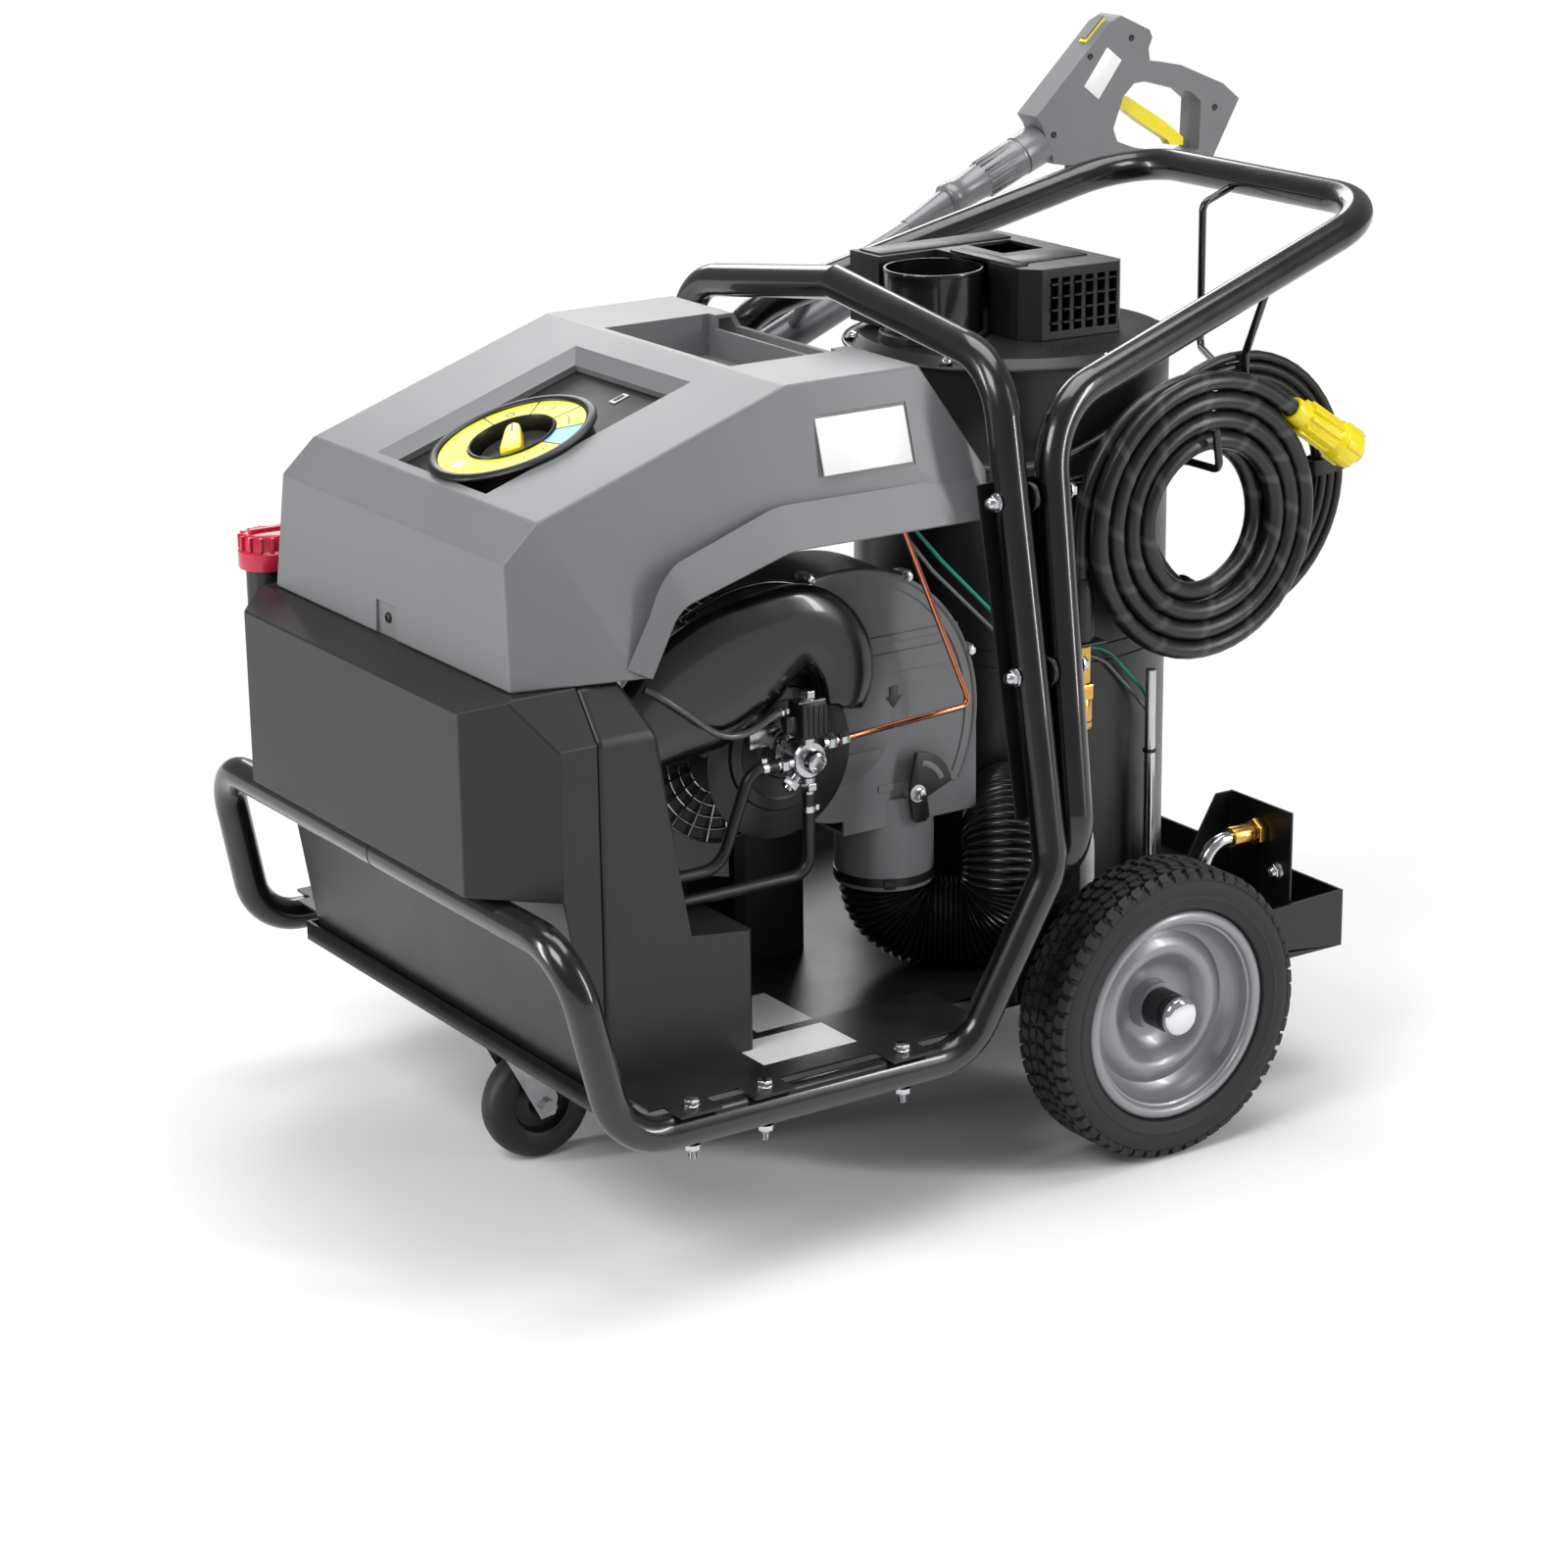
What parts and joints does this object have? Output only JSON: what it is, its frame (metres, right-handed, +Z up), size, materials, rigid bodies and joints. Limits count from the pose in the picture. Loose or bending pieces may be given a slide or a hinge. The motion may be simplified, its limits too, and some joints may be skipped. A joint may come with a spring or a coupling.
{
  "type": "pressure_washer",
  "caption": "Hot water pressure washer on a black tubular frame with two large wheels, a caster, a grey hood, a round boiler, a hose coil, a cable coil and a spray gun",
  "frame": {"origin": "on the floor under the middle of the bounding box, without the cords", "axes": "+X from the front tank to the handle, +Y to the side of the spray gun, +Z up"},
  "size_m": [1.326, 0.766, 1.0282],
  "materials": {
    "frame_paint": "satin black powder coat",
    "tray_paint": "satin black powder coat",
    "jacket_paint": "satin dark grey paint",
    "zinc_steel": "bright zinc",
    "rim_silver": "silver lacquer",
    "hub_plastic": "moulded, black",
    "tyre_rubber": "moulded tread",
    "caster_rubber": "smooth",
    "tank_plastic": "rotation moulded",
    "cap_plastic": "moulded, red",
    "hood_plastic": "satin grey moulding",
    "panel_plastic": "fine grain black",
    "knob_yellow": "moulded, yellow",
    "motor_paint": "grey enamel",
    "cast_grey": "cast",
    "fan_sheet": "dark grey",
    "fan_drum": "pressed",
    "cover_gloss": "moulded, black",
    "pump_chrome": "polished",
    "copper": "drawn copper tube",
    "brass_fitting": "turned",
    "fuel_rubber": "smooth",
    "duct_plastic": "ribbed, black",
    "coil_steel": "heat stained",
    "stack_steel": "heat-proof black",
    "earth_wire": "smooth",
    "pipe_steel": "bright tube",
    "hook_steel": "black powder coat",
    "hose_rubber": "wrapped cover",
    "cable_rubber": "smooth",
    "gun_grey": "moulded, grey",
    "lance_grey": "moulded grip and steel tube",
    "holder_steel": "grey"
  },
  "bodies": {
    "root": {"tray": "tray_paint", "frame_left": "frame_paint", "frame_right": "frame_paint", "handle_tube": "frame_paint", "handle_feet": "frame_paint", "frame_bolts": "zinc_steel", "side_panels": "frame_paint", "axle": "zinc_steel", "caster_plate": "zinc_steel", "front_tank": "tank_plastic", "rear_tank": "tank_plastic", "hood": "hood_plastic", "control_panel": "panel_plastic", "dial_ring": "panel_plastic", "junction_box": "tray_paint", "motor": "motor_paint", "pump": "cast_grey", "scroll_housing": "fan_sheet", "fan_guard": "zinc_steel", "intake_cover": "cover_gloss", "fuel_pump": "pump_chrome", "copper_pipe": "copper", "fuel_hoses": "fuel_rubber", "flex_duct": "duct_plastic", "boiler_shell": "jacket_paint", "boiler_base": "tray_paint", "heating_coil": "coil_steel", "burner_lid": "tray_paint", "exhaust_stack": "stack_steel", "burner_cover": "tray_paint", "wires": "earth_wire", "outlet_fitting": "brass_fitting", "outlet_pipes": "pipe_steel", "water_brackets": "tray_paint", "inlet_fitting": "brass_fitting", "hose_hook": "hook_steel", "cable_hook": "hook_steel", "hose_coil": "hose_rubber", "hose_connector": "knob_yellow", "cable_gland": "cable_rubber", "cable_lead": "cable_rubber", "cable_coil": "cable_rubber", "power_plug": "cable_rubber", "lance_holder": "holder_steel"},
    "wheel_left": {"tyre_left": "tyre_rubber", "rim_left": "rim_silver", "hub_left": "hub_plastic"},
    "wheel_right": {"tyre_right": "tyre_rubber", "rim_right": "rim_silver", "hub_right": "hub_plastic"},
    "caster_swivel": {"caster_fork": "zinc_steel", "caster_bolt": "zinc_steel"},
    "caster_wheel": {"caster_tyre": "caster_rubber"},
    "fuel_cap": {"fuel_cap": "cap_plastic"},
    "selector": {"dial_knob": "knob_yellow"},
    "fan_rotor": {"impeller": "fan_drum"},
    "air_flap": {"air_flap": "cast_grey"},
    "gun": {"gun_body": "gun_grey", "lance": "lance_grey"},
    "trigger": {"gun_trigger": "knob_yellow"}
  },
  "joints": [
    {"name": "left_wheel_spin", "type": "hinge", "parent": "root", "child": "wheel_left", "pos_m": [0.042, -0.342, 0.15], "axis": [0, 1, 0], "continuous": true},
    {"name": "right_wheel_spin", "type": "hinge", "parent": "root", "child": "wheel_right", "pos_m": [0.042, 0.342, 0.15], "axis": [0, 1, 0], "continuous": true},
    {"name": "caster_turn", "type": "hinge", "parent": "root", "child": "caster_swivel", "pos_m": [-0.518, 0, 0.14], "axis": [0, 0, 1], "continuous": true},
    {"name": "caster_spin", "type": "hinge", "parent": "caster_swivel", "child": "caster_wheel", "pos_m": [-0.475, 0, 0.058], "axis": [0, 1, 0], "continuous": true},
    {"name": "fuel_cap_turn", "type": "hinge", "parent": "root", "child": "fuel_cap", "pos_m": [-0.603, 0.28, 0.59], "axis": [0, 0, 1], "range_deg": [0, 90]},
    {"name": "selector_turn", "type": "hinge", "parent": "root", "child": "selector", "pos_m": [-0.4908, -0.028, 0.73916], "axis": [-0.3205, 0, 0.9473], "range_deg": [-60, 180]},
    {"name": "fan_spin", "type": "hinge", "parent": "root", "child": "fan_rotor", "pos_m": [-0.213, -0.11, 0.44], "axis": [0, 1, 0], "continuous": true},
    {"name": "air_flap_turn", "type": "hinge", "parent": "root", "child": "air_flap", "pos_m": [-0.136, -0.18, 0.364], "axis": [0, 1, 0], "range_deg": [-30, 30]},
    {"name": "gun_lift", "type": "slide", "parent": "root", "child": "gun", "axis": [-0.3859, 0, 0.9225], "range_m": [0, 0.12]},
    {"name": "trigger_squeeze", "type": "hinge", "parent": "gun", "child": "trigger", "pos_m": [0.475, 0.322, 0.928], "axis": [0, -1, 0], "range_deg": [0, 10], "stiffness_Nm_per_rad": 1}
  ]
}
